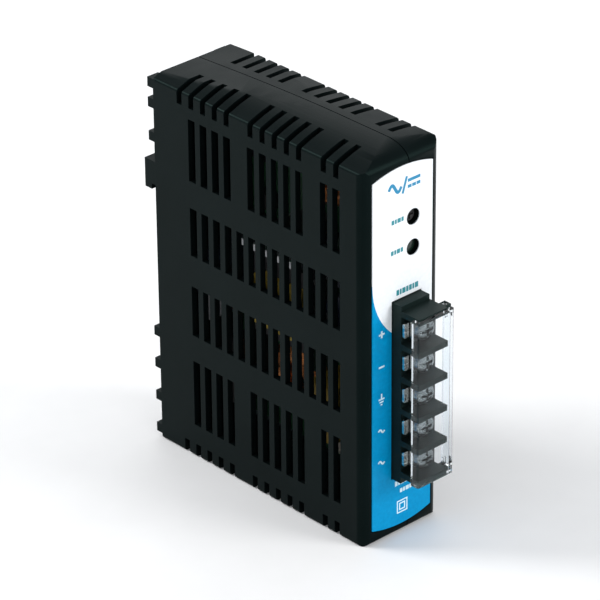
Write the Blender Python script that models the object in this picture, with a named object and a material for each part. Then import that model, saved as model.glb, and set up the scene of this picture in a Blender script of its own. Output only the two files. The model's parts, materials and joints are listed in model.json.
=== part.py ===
"""DIN rail power supply: slim two-shell case, five-way barrier terminals on the front, rail hook and sliding clip
on the back, and the power electronics inside. Constants and coordinates below are millimetres, scaled on creation.
+Z up, front towards -Y, origin under the middle of the whole supply."""

import math

import bmesh
import bpy
from mathutils import Vector

MM = 0.001

# Case
WIDTH = 30.0
HEIGHT = 122.6
CASE_DEPTH = 87.0
CROWN = 3.1
RIGHT_CROWN = 1.1
BACK_FALL = 2.2
WALL = 2.0
GAP = 0.3
SEAM_X = 2.8
FRONT_CHAMFER = 3.0
HOOK_REACH = 4.5
COVER_REACH = 12.0
Y_FRONT = -(CASE_DEPTH + HOOK_REACH - COVER_REACH) / 2
Y_BACK = Y_FRONT + CASE_DEPTH
HALF = WIDTH / 2

# Ventilation slots
SLOT_PITCH = 4.98
SLOT_WIDTH = 2.9
LAST_SLOT_FROM_FRONT = 10.9
SIDE_ROWS = ((91.8, 111.5, True), (67.6, 83.1, False), (41.2, 57.5, False), (11.0, 32.6, True))
BROKEN_COLUMNS = (1, 2, 3, 4, 6, 7, 8, 9, 10, 12, 13)
END_COLUMNS = (0,) + BROKEN_COLUMNS
END_SLOT_WRAP = 4.5
END_SLOT_WIDTH = 2.1

# Rail fixing: 35 mm top-hat rail
RAIL_TOP = 85.0
RAIL_HEIGHT = 35.0
RAIL_LIP = 1.6
HOOK_HEIGHT = 7.5
PAD_REACH = 0.4
PAD_Z = (54.0, 82.0)
BAR_CENTRES = (3.2, 14.2, 25.3, 36.1, 100.4, 111.1, 117.5)
BAR_REACH = 2.4
CLIP_HALF = 6.0
CLIP_FLANGE = 8.0
CLIP_THICK = 3.0
CLIP_BOTTOM = 5.0
CLIP_TRAVEL = 4.5
LUG_Z = (17.5, 19.5)
SPRING_TURNS = 9
SPRING_WIRE = 0.225
SPRING_RADIUS = 1.15

# Terminals
POLES = 5
PITCH = 10.39
BARRIER = 1.8
BARRIERS_TOP = 74.7
BASE_X = (-3.8, 7.2)
BASE_Z = (18.9, 76.2)
BASE_REACH = 3.6
BARRIER_REACH = 10.7
SCREW_X = 1.7
SCREW_HEAD = 3.1
SCREW_SHANK = 1.7
COVER_SHEET = 1.0
COVER_FLANGE = 2.9
PLATE_THICK = 0.8
HINGE_X = BASE_X[1] + 1.2
HINGE_Y = Y_FRONT - 8.45

# Label and the two round holes in it
LABEL_HALF = 11.6
LABEL_Z = (4.5, 115.6)
LABEL_ARC = 1.9
HOLE_RADIUS = 2.5
HOLE_X = 4.1
TRIMMER_Z = 100.4
LIGHT_Z = 90.9

# Circuit board
BOARD_X = 10.6
BOARD_THICK = 1.6
LEAD_X = BOARD_X - GAP

COLOURS = {
    "case_plastic": ((0.022, 0.026, 0.027), 0.0, 0.45),
    "terminal_plastic": ((0.02, 0.024, 0.025), 0.0, 0.4),
    "label_print": ((0.80, 0.86, 0.90), 0.0, 0.35),
    "clear_plastic": ((0.80, 0.88, 0.95), 0.0, 0.08),
    "nickel": ((0.72, 0.72, 0.70), 1.0, 0.28),
    "spring_steel": ((0.45, 0.45, 0.46), 1.0, 0.35),
    "clip_plastic": ((0.03, 0.032, 0.034), 0.0, 0.5),
    "trimmer_plastic": ((0.03, 0.03, 0.035), 0.0, 0.5),
    "indicator_lens": ((0.03, 0.10, 0.05), 0.0, 0.15),
    "board": ((0.05, 0.16, 0.07), 0.0, 0.5),
    "ferrite": ((0.05, 0.05, 0.055), 0.0, 0.7),
    "winding_tape": ((0.55, 0.42, 0.08), 0.0, 0.4),
    "copper_wire": ((0.55, 0.22, 0.08), 1.0, 0.35),
    "capacitor_sleeve": ((0.02, 0.03, 0.06), 0.0, 0.3),
    "film_box": ((0.50, 0.36, 0.05), 0.0, 0.4),
    "heatsink": ((0.55, 0.56, 0.58), 1.0, 0.4),
    "component_black": ((0.02, 0.02, 0.02), 0.0, 0.4),
    "disc_blue": ((0.03, 0.08, 0.30), 0.0, 0.4),
    "disc_green": ((0.04, 0.16, 0.08), 0.0, 0.5),
    "fuse_sleeve": ((0.60, 0.55, 0.48), 0.0, 0.35),
}


def clear_scene():
    for obj in list(bpy.data.objects):
        bpy.data.objects.remove(obj, do_unlink=True)


def material(slot):
    found = bpy.data.materials.get(slot)
    if found:
        return found
    colour, metallic, roughness = COLOURS[slot]
    made = bpy.data.materials.new(slot)
    made.use_nodes = True
    shader = made.node_tree.nodes["Principled BSDF"]
    shader.inputs["Base Color"].default_value = (*colour, 1.0)
    shader.inputs["Metallic"].default_value = metallic
    shader.inputs["Roughness"].default_value = roughness
    made.diffuse_color = (*colour, 1.0)
    return made


def add_box(bm, lo, hi):
    corners = [
        bm.verts.new((x * MM, y * MM, z * MM))
        for x in (lo[0], hi[0])
        for y in (lo[1], hi[1])
        for z in (lo[2], hi[2])
    ]
    for face in ((0, 1, 3, 2), (4, 6, 7, 5), (0, 4, 5, 1), (2, 3, 7, 6), (0, 2, 6, 4), (1, 5, 7, 3)):
        bm.faces.new([corners[i] for i in face])


def add_prism(bm, outline, axis, start, end):
    """Extrudes an outline of (u, v) points along axis; u and v are the other two axes in X, Y, Z order."""
    rings = []
    for along in (start, end):
        ring = []
        for u, v in outline:
            point = [u, v]
            point.insert(axis, along)
            ring.append(bm.verts.new([value * MM for value in point]))
        rings.append(ring)
    bm.faces.new(rings[0])
    bm.faces.new(list(reversed(rings[1])))
    count = len(outline)
    for i in range(count):
        j = (i + 1) % count
        bm.faces.new([rings[0][i], rings[1][i], rings[1][j], rings[0][j]])


def add_cylinder(bm, centre, axis, radius, start, end, sides=24):
    """A cylinder along axis from start to end; centre holds the other two coordinates in X, Y, Z order."""
    outline = [
        (
            centre[0] + radius * math.cos(2 * math.pi * k / sides),
            centre[1] + radius * math.sin(2 * math.pi * k / sides),
        )
        for k in range(sides)
    ]
    add_prism(bm, outline, axis, start, end)


def solid(name, build, slot=None, origin=None):
    """Makes an object from a function that fills a bmesh. Its origin goes to the given point, or to its middle."""
    bm = bmesh.new()
    build(bm)
    bmesh.ops.recalc_face_normals(bm, faces=bm.faces)
    if origin is None:
        xs, ys, zs = zip(*[vert.co for vert in bm.verts])
        middle = Vector([(min(v) + max(v)) / 2 for v in (xs, ys, zs)])
    else:
        middle = Vector(origin) * MM
    bmesh.ops.translate(bm, verts=bm.verts, vec=-middle)
    mesh = bpy.data.meshes.new(name)
    bm.to_mesh(mesh)
    bm.free()
    obj = bpy.data.objects.new(name, mesh)
    obj.location = middle
    bpy.context.scene.collection.objects.link(obj)
    if slot:
        mesh.materials.append(material(slot))
    return obj


def combine(obj, build, operation):
    """Joins to obj, cuts from it, or keeps what it shares with, the shapes that build makes one at a time."""
    tool = solid(obj.name + "_tool", build)
    modifier = obj.modifiers.new("combine", "BOOLEAN")
    modifier.operation = operation
    modifier.solver = "EXACT"
    modifier.use_self = True
    modifier.object = tool
    bpy.context.view_layer.update()
    graph = bpy.context.evaluated_depsgraph_get()
    result = bpy.data.meshes.new_from_object(obj.evaluated_get(graph))
    obj.modifiers.remove(modifier)
    old = obj.data
    obj.data = result
    bpy.data.meshes.remove(old)
    result.name = obj.name
    bpy.data.objects.remove(tool, do_unlink=True)
    return obj


def smooth(obj, degrees=40):
    obj.data.shade_smooth()
    obj.data.set_sharp_from_angle(angle=math.radians(degrees))


def boxes(*pairs):
    def build(bm):
        for lo, hi in pairs:
            add_box(bm, lo, hi)

    return build


def prism(outline, axis, start, end):
    return lambda bm: add_prism(bm, outline, axis, start, end)


def cylinder(centre, axis, radius, start, end, sides=24):
    return lambda bm: add_cylinder(bm, centre, axis, radius, start, end, sides)


def case_section(inset):
    """The case seen from the front: crowned top, flat bottom, small corners. inset moves every wall inwards."""
    side = HALF - inset
    low = inset
    high = HEIGHT - inset
    return [
        (-side, low + 1.1),
        (-side + 0.35, low + 0.35),
        (-side + 1.1, low),
        (side - 2.6, low),
        (side - 0.8, low + 0.8),
        (side, low + 2.6),
        (side, high - RIGHT_CROWN - 1.1),
        (side - 0.35, high - RIGHT_CROWN - 0.35),
        (side - 1.1, high - RIGHT_CROWN),
        (9.0, high - 0.35),
        (SEAM_X, high),
        (-6.0, high - 0.9),
        (-side + 1.1, high - CROWN),
        (-side + 0.35, high - CROWN - 0.35),
    ]


def case_plan(inset):
    """The case seen from above: the vertical front edges are cut off in two facets."""
    side = HALF - inset
    front = Y_FRONT + inset
    c = FRONT_CHAMFER
    return [
        (-side, Y_BACK - inset),
        (-side, front + c),
        (-side + 0.25 * c, front + 0.4 * c),
        (-side + c, front),
        (side - c, front),
        (side - 0.25 * c, front + 0.4 * c),
        (side, front + c),
        (side, Y_BACK - inset),
    ]


def case_profile(inset):
    """The case seen from the side: the top arches, falls to the back and rolls over into the front."""
    roll = ((0.0, 4.9), (0.5, 3.6), (2.0, 2.1), (5.0, 0.7), (8.0, 0.05), (14.0, -0.3))
    edge = ((0.0, 1.4), (0.5, 0.5), (1.4, 0.0), (2.2, -0.3), (8.0, -0.8))
    front = Y_FRONT + inset
    low = inset
    high = HEIGHT - inset
    bottom = [(front + back, low + up) for back, up in reversed(edge)]
    top = [(front + back, high - up) for back, up in roll]
    end = Y_BACK - inset
    back = [(front + 34.0, high - 0.1), (front + 62.0, high - 0.45 * BACK_FALL), (end, high - BACK_FALL)]
    return [(end, low - 2.0), (front + 8.0, low - 2.0), *bottom, *top, *back]


def case_block(name, inset):
    block = solid(name, prism(case_section(inset), 1, Y_FRONT - 5, Y_BACK + 5), "case_plastic")
    combine(block, prism(case_plan(inset), 2, -5, HEIGHT + 5), "INTERSECT")
    return combine(block, prism(case_profile(inset), 0, -HALF - 5, HALF + 5), "INTERSECT")


def column_y(column):
    return Y_FRONT + LAST_SLOT_FROM_FRONT + (13 - column) * SLOT_PITCH


def slot_boxes(side):
    """Cutters for one shell's slots. side is -1 for the left shell and 1 for the right one."""
    found = []
    outer = side * (HALF + 1.0)
    inner = side * (HALF - WALL - 1.0)
    for low, high, broken in SIDE_ROWS:
        for column in BROKEN_COLUMNS if broken else range(1, 14):
            y = column_y(column)
            xs = sorted((outer, inner))
            found.append(((xs[0], y - SLOT_WIDTH / 2, low), (xs[1], y + SLOT_WIDTH / 2, high)))
    reach = -6.1 if side < 0 else 5.6
    xs = sorted((outer, reach))
    for column in END_COLUMNS:
        y = column_y(column)
        for low, high in ((HEIGHT - CROWN - END_SLOT_WRAP, HEIGHT + 1), (-1, END_SLOT_WRAP)):
            found.append(((xs[0], y - END_SLOT_WIDTH / 2, low), (xs[1], y + END_SLOT_WIDTH / 2, high)))
    return found


def label_outline(grow=0.0):
    half = LABEL_HALF + grow
    low, high = LABEL_Z[0] - grow, LABEL_Z[1] + grow
    steps = 8
    across = [-half + 2 * half * k / steps for k in range(steps + 1)]
    top = [(x, high + LABEL_ARC * (1 - (x / half) ** 2)) for x in across]
    bottom = [(x, low - LABEL_ARC * (1 - (x / half) ** 2)) for x in reversed(across)]
    return top + bottom


def shell(name, side):
    """One half of the case, with its rail features, slots and openings."""
    obj = case_block(name, 0.0)
    inner = case_block("inner_space", WALL)
    modifier_mesh = inner.data.copy()
    offset = inner.location.copy()
    bpy.data.objects.remove(inner, do_unlink=True)

    def cavity(bm):
        bm.from_mesh(modifier_mesh)
        bmesh.ops.translate(bm, verts=bm.verts, vec=offset)

    combine(obj, cavity, "DIFFERENCE")
    bpy.data.meshes.remove(modifier_mesh)
    cut = SEAM_X + side * GAP / 2
    away = sorted((cut, -side * (HALF + 5)))
    combine(obj, boxes(((away[0], Y_FRONT - 5, -5), (away[1], Y_BACK + 5, HEIGHT + 5))), "DIFFERENCE")

    def span(a, b):
        return sorted((side * a, side * b))

    added = []
    bar = span(10.8, HALF - 0.02)
    for z in BAR_CENTRES:
        added.append(((bar[0], Y_BACK - 1.0, z - 1.5), (bar[1], Y_BACK + BAR_REACH, z + 1.5)))
    full = sorted((cut, side * (HALF - 0.01)))
    hook_top = RAIL_TOP + HOOK_HEIGHT
    added.append(((full[0], Y_BACK - 1.0, RAIL_TOP), (full[1], Y_BACK + HOOK_REACH, hook_top)))
    combine(obj, boxes(*added), "UNION")
    lip = ((full[0], Y_BACK + RAIL_LIP, RAIL_TOP - 1.8), (full[1], Y_BACK + HOOK_REACH, RAIL_TOP + 1.0))
    combine(obj, boxes(lip), "UNION")
    pad = span(7.0, 13.0)
    combine(obj, boxes(((pad[0], Y_BACK - 1.0, PAD_Z[0]), (pad[1], Y_BACK + PAD_REACH, PAD_Z[1]))), "UNION")
    post = span(CLIP_FLANGE + GAP, CLIP_FLANGE + 2.3)
    combine(obj, boxes(((post[0], Y_BACK - 1.0, 9.0), (post[1], Y_BACK + CLIP_THICK, 44.0))), "UNION")
    catch = span(CLIP_HALF + GAP, CLIP_FLANGE + 1.0)
    combine(obj, boxes(((catch[0], Y_BACK + 1.8, 9.0), (catch[1], Y_BACK + CLIP_THICK, 44.0))), "UNION")
    if side < 0:
        combine(obj, boxes(((-2.2, Y_BACK - 1.0, LUG_Z[0]), (2.2, Y_BACK + 2.8, LUG_Z[1]))), "UNION")
    else:
        for y, fall in ((-20.0, 0.6), (30.0, 2.1)):
            roof = HEIGHT - WALL - fall
            combine(obj, boxes(((3.4, y - 3, roof - 2.2), (7.0, y + 3, roof + 1.4))), "UNION")
            combine(obj, boxes(((-1.0, y - 3, roof - 2.2), (4.4, y + 3, roof - 0.8))), "UNION")
            combine(obj, boxes(((3.4, y - 3, WALL - 0.8), (7.0, y + 3, WALL + 1.7))), "UNION")
            combine(obj, boxes(((-1.0, y - 3, WALL + GAP), (4.4, y + 3, WALL + 1.7))), "UNION")
        bosses = [
            ((BOARD_X + BOARD_THICK + GAP, y - 2.5, z - 2.5), (HALF - WALL + 0.5, y + 2.5, z + 2.5))
            for y in (-31.0, 40.0)
            for z in (8.5, 113.0)
        ]
        for boss in bosses:
            combine(obj, boxes(boss), "UNION")
    combine(obj, boxes(*slot_boxes(side)), "DIFFERENCE")
    combine(obj, prism(label_outline(GAP), 1, Y_FRONT - 1, Y_FRONT + 0.6), "DIFFERENCE")
    window = ((BASE_X[0] - GAP, Y_FRONT - 1, BASE_Z[0] - GAP), (BASE_X[1] + GAP, Y_FRONT + WALL + 1, BASE_Z[1] + GAP))
    combine(obj, boxes(window), "DIFFERENCE")
    for z in (TRIMMER_Z, LIGHT_Z):
        combine(obj, cylinder((HOLE_X, z), 1, HOLE_RADIUS, Y_FRONT - 1, Y_FRONT + WALL + 1), "DIFFERENCE")
    return obj


def front_label():
    obj = solid("front_label", prism(label_outline(), 1, Y_FRONT - 0.1, Y_FRONT + 0.3), "label_print")
    window = ((BASE_X[0] - GAP, Y_FRONT - 1, BASE_Z[0] - GAP), (BASE_X[1] + GAP, Y_FRONT + 1, BASE_Z[1] + GAP))
    combine(obj, boxes(window), "DIFFERENCE")
    for z in (TRIMMER_Z, LIGHT_Z):
        combine(obj, cylinder((HOLE_X, z), 1, HOLE_RADIUS, Y_FRONT - 1, Y_FRONT + 1), "DIFFERENCE")


def pole_z(pole):
    """Height of a pole's middle, pole 1 on top."""
    return BARRIERS_TOP - BARRIER - (PITCH - BARRIER) / 2 - (pole - 1) * PITCH


def barrier_span(index):
    top = BARRIERS_TOP - index * PITCH
    return top - BARRIER, top


def terminal_base():
    floor = Y_FRONT - BASE_REACH
    tip = Y_FRONT - BARRIER_REACH
    obj = solid(
        "terminal_base",
        boxes(((BASE_X[0], floor, BASE_Z[0]), (BASE_X[1], Y_FRONT + 8.0, BASE_Z[1]))),
        "terminal_plastic",
    )
    walls = [
        ((BASE_X[0] + 0.005, tip, barrier_span(i)[0]), (BASE_X[1] - 0.005, floor + 1.0, barrier_span(i)[1]))
        for i in range(POLES + 1)
    ]
    combine(obj, boxes(*walls), "UNION")
    ears = []
    for i in (0, POLES):
        low, high = barrier_span(i)
        ears.append(((BASE_X[1] - 1.0, HINGE_Y - 1.3, low + 0.005), (HINGE_X + 1.2, HINGE_Y + 1.2, high - 0.005)))
    combine(obj, boxes(*ears), "UNION")
    for i in (0, POLES):
        low, high = barrier_span(i)
        combine(obj, cylinder((HINGE_X, HINGE_Y), 2, 0.85, low - 1, high + 1, 16), "DIFFERENCE")
    for pole in range(1, POLES + 1):
        z = pole_z(pole)
        combine(obj, cylinder((SCREW_X, z), 1, 2.0, floor - 0.1, Y_FRONT + 3.2, 16), "DIFFERENCE")
        combine(obj, boxes(((4.9, floor - 0.1, z - 1.8), (6.3, Y_FRONT + 9, z + 1.8))), "DIFFERENCE")


def terminal_pole(pole):
    floor = Y_FRONT - BASE_REACH
    z = pole_z(pole)
    plate_front = floor - GAP - PLATE_THICK
    plate = solid(
        f"contact_plate_{pole}",
        boxes(((-3.6, plate_front, z - 2.3), (6.0, floor - GAP, z + 2.3))),
        "nickel",
    )
    combine(plate, boxes(((5.2, floor - GAP - 0.4, z - 1.5), (5.99, Y_FRONT + 10.2, z + 1.5))), "UNION")
    foot = ((5.6, Y_FRONT + 9.4, z - 1.49), (LEAD_X, Y_FRONT + 10.19, z + 1.49))
    combine(plate, boxes(foot), "UNION")
    combine(plate, cylinder((SCREW_X, z), 1, 1.75, floor - 3, floor + 1), "DIFFERENCE")

    washer_front = plate_front - GAP - 0.8
    axis = (SCREW_X, washer_front, z)
    washer = solid(
        f"clamp_washer_{pole}",
        boxes(((SCREW_X - 3.3, washer_front, z - 3.6), (SCREW_X + 3.7, plate_front - GAP, z + 3.6))),
        "nickel",
        axis,
    )
    combine(washer, cylinder((SCREW_X, z), 1, 1.85, washer_front - 1, washer_front + 2), "DIFFERENCE")

    under = washer_front - GAP
    profile = (
        (0.0, under - 2.3),
        (SCREW_HEAD - 0.9, under - 2.3),
        (SCREW_HEAD, under - 1.5),
        (SCREW_HEAD, under),
        (SCREW_SHANK, under),
        (SCREW_SHANK, under + 7.0),
        (SCREW_SHANK - 0.6, under + 7.8),
        (0.0, under + 7.8),
    )

    def turned(bm):
        sides = 24
        rings = []
        for radius, y in profile:
            if radius == 0.0:
                rings.append([bm.verts.new((SCREW_X * MM, y * MM, z * MM))])
                continue
            ring = []
            for k in range(sides):
                turn = 2 * math.pi * k / sides
                x = SCREW_X + radius * math.cos(turn)
                ring.append(bm.verts.new((x * MM, y * MM, (z + radius * math.sin(turn)) * MM)))
            rings.append(ring)
        for first, second in zip(rings, rings[1:]):
            for k in range(sides):
                j = (k + 1) % sides
                if len(first) == 1:
                    bm.faces.new((first[0], second[k], second[j]))
                elif len(second) == 1:
                    bm.faces.new((first[k], second[0], first[j]))
                else:
                    bm.faces.new((first[k], second[k], second[j], first[j]))

    screw = solid(f"terminal_screw_{pole}", turned, "nickel", (SCREW_X, under, z))
    top = under - 2.3
    combine(screw, boxes(((SCREW_X - 2.3, top - 1, z - 0.45), (SCREW_X + 2.3, top + 1.0, z + 0.45))), "DIFFERENCE")
    combine(screw, boxes(((SCREW_X - 0.45, top - 1, z - 2.3), (SCREW_X + 0.45, top + 1.0, z + 2.3))), "DIFFERENCE")
    smooth(screw)


def terminal_cover():
    front = Y_FRONT - COVER_REACH
    low = barrier_span(POLES)[0] + 0.25
    high = BARRIERS_TOP - 0.3
    near = BASE_X[0] - GAP - COVER_SHEET
    far = HINGE_X + COVER_SHEET / 2
    obj = solid(
        "terminal_cover",
        boxes(((near, front, low), (far, front + COVER_SHEET, high))),
        "clear_plastic",
        (HINGE_X, HINGE_Y, (low + high) / 2),
    )
    combine(obj, boxes(((near, front, low), (near + COVER_SHEET, front + COVER_FLANGE, high))), "UNION")
    hinge_low = barrier_span(POLES)[1] + GAP
    hinge_high = barrier_span(0)[0] - GAP
    combine(obj, boxes(((far - COVER_SHEET, front, hinge_low), (far, HINGE_Y + 0.7, hinge_high))), "UNION")
    pins = ((hinge_high - 2.0, BARRIERS_TOP - 0.2), (barrier_span(POLES)[0] + 0.2, hinge_low + 2.0))
    for start, end in pins:
        combine(obj, cylinder((HINGE_X, HINGE_Y), 2, 0.75, start, end, 16), "UNION")


def trimmer():
    back = Y_FRONT + WALL + GAP
    z = TRIMMER_Z
    body = solid("trimmer_body", boxes(((HOLE_X - 3.2, back, z - 3.2), (LEAD_X, back + 5, z + 3.2))), "trimmer_plastic")
    combine(body, cylinder((HOLE_X, z), 1, 2.05, back - 1, back + 2), "DIFFERENCE")
    face = Y_FRONT + 1.4
    rotor = solid(
        "trimmer_rotor",
        cylinder((HOLE_X, z), 1, 1.95, face, back + 1.7),
        "trimmer_plastic",
        (HOLE_X, face, z),
    )
    combine(rotor, boxes(((HOLE_X - 1.4, face - 1, z - 0.3), (HOLE_X + 1.4, face + 0.7, z + 0.3))), "DIFFERENCE")
    combine(rotor, boxes(((HOLE_X - 0.3, face - 1, z - 1.4), (HOLE_X + 0.3, face + 0.7, z + 1.4))), "DIFFERENCE")
    smooth(rotor)


def indicator():
    back = Y_FRONT + WALL + GAP
    z = LIGHT_Z
    lens = solid("ok_indicator", boxes(((HOLE_X - 2.2, back, z - 2.2), (LEAD_X, back + 4, z + 2.2))), "indicator_lens")
    combine(lens, cylinder((HOLE_X, z), 1, 2.1, Y_FRONT + 1.4, back + 1), "UNION")
    smooth(lens)


def rail_clip():
    near = Y_BACK + GAP
    nose_bottom = RAIL_TOP - RAIL_HEIGHT - GAP
    plate_bottom = CLIP_BOTTOM
    obj = solid(
        "rail_clip",
        boxes(((-CLIP_HALF, near, plate_bottom), (CLIP_HALF, near + CLIP_THICK, nose_bottom))),
        "clip_plastic",
        (0.0, near, plate_bottom),
    )
    nose = ((-CLIP_HALF + 0.01, Y_BACK + RAIL_LIP, nose_bottom - 3), (CLIP_HALF - 0.01, Y_BACK + 3.7, nose_bottom + 2.1))
    combine(obj, boxes(nose), "UNION")
    combine(obj, boxes(((-CLIP_FLANGE, near + 0.01, 9.5), (CLIP_FLANGE, near + 1.2, 43.5))), "UNION")
    combine(obj, boxes(((-2.6, near - 1, LUG_Z[0] - GAP), (2.6, near + 5, 36.0))), "DIFFERENCE")
    combine(obj, boxes(((-3.0, near - 1, plate_bottom + 1.4), (3.0, near + 5, plate_bottom + 3.8))), "DIFFERENCE")


def clip_spring():
    """Coil with its axis vertical, its wire drawn as a swept ring of points."""
    low = LUG_Z[1] + GAP + SPRING_WIRE
    high = 36.0 - GAP - SPRING_WIRE
    centre_y = Y_BACK + GAP + CLIP_THICK / 2
    per_turn = 10
    around = 6
    count = SPRING_TURNS * per_turn

    def build(bm):
        rings = []
        for i in range(count + 1):
            turn = 2 * math.pi * i / per_turn
            z = low + (high - low) * i / count
            out = Vector((math.cos(turn), math.sin(turn), 0.0))
            centre = out * SPRING_RADIUS + Vector((0.0, centre_y, z))
            ring = []
            for k in range(around):
                angle = 2 * math.pi * k / around
                offset = out * math.cos(angle) + Vector((0.0, 0.0, 1.0)) * math.sin(angle)
                ring.append(bm.verts.new((centre + offset * SPRING_WIRE) * MM))
            rings.append(ring)
        for first, second in zip(rings, rings[1:]):
            for k in range(around):
                j = (k + 1) % around
                bm.faces.new((first[k], first[j], second[j], second[k]))
        bm.faces.new(rings[0])
        bm.faces.new(list(reversed(rings[-1])))

    spring = solid("clip_spring", build, "spring_steel", (0.0, centre_y, low))
    smooth(spring)


def board():
    lo = (BOARD_X, Y_FRONT + 4, 5.2)
    hi = (BOARD_X + BOARD_THICK, Y_BACK - 4, 115.6)
    solid("circuit_board", boxes((lo, hi)), "board")


def standing_block(name, slot, height, y, z):
    """A component that stands on the board towards -X. y and z are its (low, high) spans."""
    return solid(name, boxes(((LEAD_X - height, y[0], z[0]), (LEAD_X, y[1], z[1]))), slot)


def standing_can(name, slot, height, y, z, radius):
    obj = solid(name, cylinder((y, z), 0, radius, LEAD_X - height, LEAD_X), slot)
    smooth(obj)
    return obj


def standing_disc(name, slot, y, z, radius, thick):
    obj = solid(name, cylinder((LEAD_X - 1.5 - radius, z), 1, radius, y - thick / 2, y + thick / 2), slot)
    for offset in (-2.5, 2.5):
        combine(obj, boxes(((LEAD_X - 4.0, y - 0.5, z + offset - 0.5), (LEAD_X, y + 0.5, z + offset + 0.5))), "UNION")
    return obj


def ring_choke(name, slot, y, z, major, minor, height):
    def build(bm):
        steps, around = 20, 10
        rings = []
        for i in range(steps):
            turn = 2 * math.pi * i / steps
            ring = []
            for k in range(around):
                angle = 2 * math.pi * k / around
                reach = major + minor * math.cos(angle)
                point = (height + minor * math.sin(angle), y + reach * math.cos(turn), z + reach * math.sin(turn))
                ring.append(bm.verts.new([v * MM for v in point]))
            rings.append(ring)
        for i in range(steps):
            first, second = rings[i], rings[(i + 1) % steps]
            for k in range(around):
                j = (k + 1) % around
                bm.faces.new((first[k], second[k], second[j], first[j]))

    obj = solid(name, build, slot)
    smooth(obj)


def transformer():
    y, z = 3.0, 60.0
    core = solid("transformer_core", boxes(((-6.0, y - 12, z - 13), (8.0, y + 12, z + 13))), "ferrite")
    windows = [
        ((-8.0, y + low, z - 8), (10.0, y + high, z + 8))
        for low, high in ((-9.0, -3.0), (3.0, 9.0))
    ]
    combine(core, boxes(*windows), "DIFFERENCE")
    coil = solid(
        "transformer_winding",
        boxes(((-10.0, y - 8.7, z - 7.7), (LEAD_X, y + 8.7, z + 7.7))),
        "winding_tape",
    )
    combine(coil, boxes(((-6.3, y - 3.3, z - 9), (8.3, y + 3.3, z + 9))), "DIFFERENCE")


def electronics():
    board()
    fuse = solid("mains_fuse", cylinder((LEAD_X - 3.2, 12.0), 1, 2.6, -26.0, -6.0), "fuse_sleeve")
    for y in (-25.0, -8.0):
        combine(fuse, boxes(((LEAD_X - 3.2, y, 11.4), (LEAD_X, y + 1.0, 12.6))), "UNION")
    smooth(fuse)
    standing_disc("surge_varistor", "disc_blue", -24.0, 25.0, 6.0, 4.0)
    standing_disc("inrush_thermistor", "disc_green", -24.0, 39.0, 5.0, 4.0)
    standing_block("mains_filter_capacitor", "film_box", 15.0, (-16.0, -6.0), (20.0, 38.0))
    ring_choke("line_filter_choke", "copper_wire", 9.0, 29.0, 7.5, 4.0, LEAD_X - 4.2)
    standing_block("bridge_rectifier", "component_black", 14.0, (25.0, 29.0), (16.0, 38.0))
    standing_can("bulk_capacitor", "capacitor_sleeve", 22.0, 32.0, 57.0, 11.0)
    transformer()
    standing_block("primary_heatsink", "heatsink", 22.0, (-14.0, -12.0), (46.0, 74.0))
    standing_block("switching_transistor", "component_black", 16.0, (-18.6, -14.3), (54.0, 64.0))
    standing_block("secondary_heatsink", "heatsink", 22.0, (-9.0, 16.0), (77.0, 79.0))
    standing_block("output_rectifier", "component_black", 16.0, (-2.0, 8.0), (79.3, 83.8))
    standing_can("output_capacitor_1", "capacitor_sleeve", 20.0, -24.0, 82.0, 5.0)
    standing_can("output_capacitor_2", "capacitor_sleeve", 20.0, -24.0, 69.0, 5.0)
    ring_choke("output_choke", "copper_wire", -4.0, 99.0, 6.0, 3.2, LEAD_X - 3.4)
    standing_block("control_chip", "component_black", 1.8, (24.0, 32.0), (92.0, 97.0))
    standing_block("optocoupler", "component_black", 3.6, (22.0, 28.5), (78.0, 82.6))


def main():
    clear_scene()
    shell("left_shell", -1)
    shell("right_shell", 1)
    front_label()
    terminal_base()
    for pole in range(1, POLES + 1):
        terminal_pole(pole)
    terminal_cover()
    trimmer()
    indicator()
    rail_clip()
    clip_spring()
    electronics()


main()
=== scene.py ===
"""The looks of the DIN rail power supply: fine shells, printed label, terminals, clear cover and all materials.

Lengths are millimetres unless a name says otherwise, and become metres where a mesh is made. Places come from the
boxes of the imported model, and +Z is up, the front faces -Y.
"""

import json
import math

import bmesh
import bpy
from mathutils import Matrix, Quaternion, Vector


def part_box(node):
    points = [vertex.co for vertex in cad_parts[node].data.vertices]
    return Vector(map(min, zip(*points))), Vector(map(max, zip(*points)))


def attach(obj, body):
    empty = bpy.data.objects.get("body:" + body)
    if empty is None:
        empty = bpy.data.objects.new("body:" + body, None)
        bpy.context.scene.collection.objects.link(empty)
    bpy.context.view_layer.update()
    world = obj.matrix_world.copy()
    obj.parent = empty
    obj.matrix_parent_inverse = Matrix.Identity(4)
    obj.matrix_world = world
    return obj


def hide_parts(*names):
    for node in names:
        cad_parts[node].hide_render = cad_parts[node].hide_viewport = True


MM = 0.001


def box_mm(node):
    low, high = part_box(node)
    return Vector(low) / MM, Vector(high) / MM


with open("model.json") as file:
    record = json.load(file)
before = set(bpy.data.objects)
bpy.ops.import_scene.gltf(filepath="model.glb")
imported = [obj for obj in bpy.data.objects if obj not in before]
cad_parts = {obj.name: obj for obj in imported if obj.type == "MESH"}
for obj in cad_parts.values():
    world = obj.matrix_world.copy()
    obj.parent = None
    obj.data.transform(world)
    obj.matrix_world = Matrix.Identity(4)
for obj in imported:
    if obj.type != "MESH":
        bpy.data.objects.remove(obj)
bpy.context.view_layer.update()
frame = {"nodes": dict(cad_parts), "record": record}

# The case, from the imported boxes
LEFT = box_mm("left_shell")
RIGHT = box_mm("right_shell")
LABEL = box_mm("front_label")
BASE = box_mm("terminal_base")
COVER = box_mm("terminal_cover")
CLIP = box_mm("rail_clip")
HALF = RIGHT[1].x
HEIGHT = RIGHT[1].z
Y_FRONT = LEFT[0].y
HOOK_REACH = 4.5
Y_BACK = LEFT[1].y - HOOK_REACH
SEAM_X = LEFT[1].x - 0.15

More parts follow.
